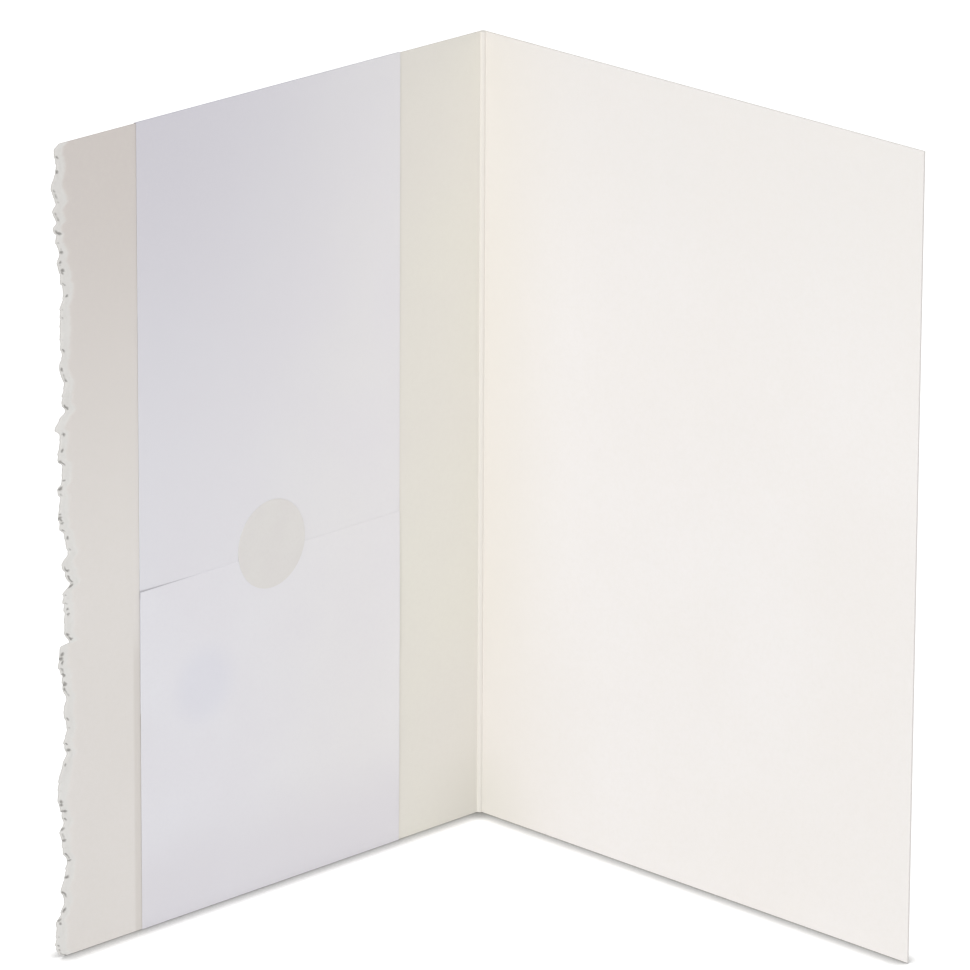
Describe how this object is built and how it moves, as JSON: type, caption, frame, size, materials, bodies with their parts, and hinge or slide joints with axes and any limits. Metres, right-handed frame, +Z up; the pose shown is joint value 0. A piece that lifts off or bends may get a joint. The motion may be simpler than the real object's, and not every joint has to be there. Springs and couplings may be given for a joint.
{
  "type": "wedding card",
  "caption": "Folded greeting card standing open at a right angle, with a deckle-torn front edge, a paper band round its front panel and a round paper seal over the band's seam.",
  "frame": {"origin": "on the surface that the card stands on, below the middle of its box", "axes": "+Z up along the fold, +Y from the open side towards the fold, +X towards the back panel"},
  "size_m": [0.1796, 0.09, 0.1784],
  "materials": {
    "card_stock": "uncoated cotton stock, warm white",
    "band_paper": "thin smooth paper, cool white",
    "seal_paper": "soft matt paper, off white"
  },
  "bodies": {
    "root": {"card_sheet": "card_stock", "paper_band": "band_paper", "round_seal": "seal_paper"}
  },
  "joints": []
}
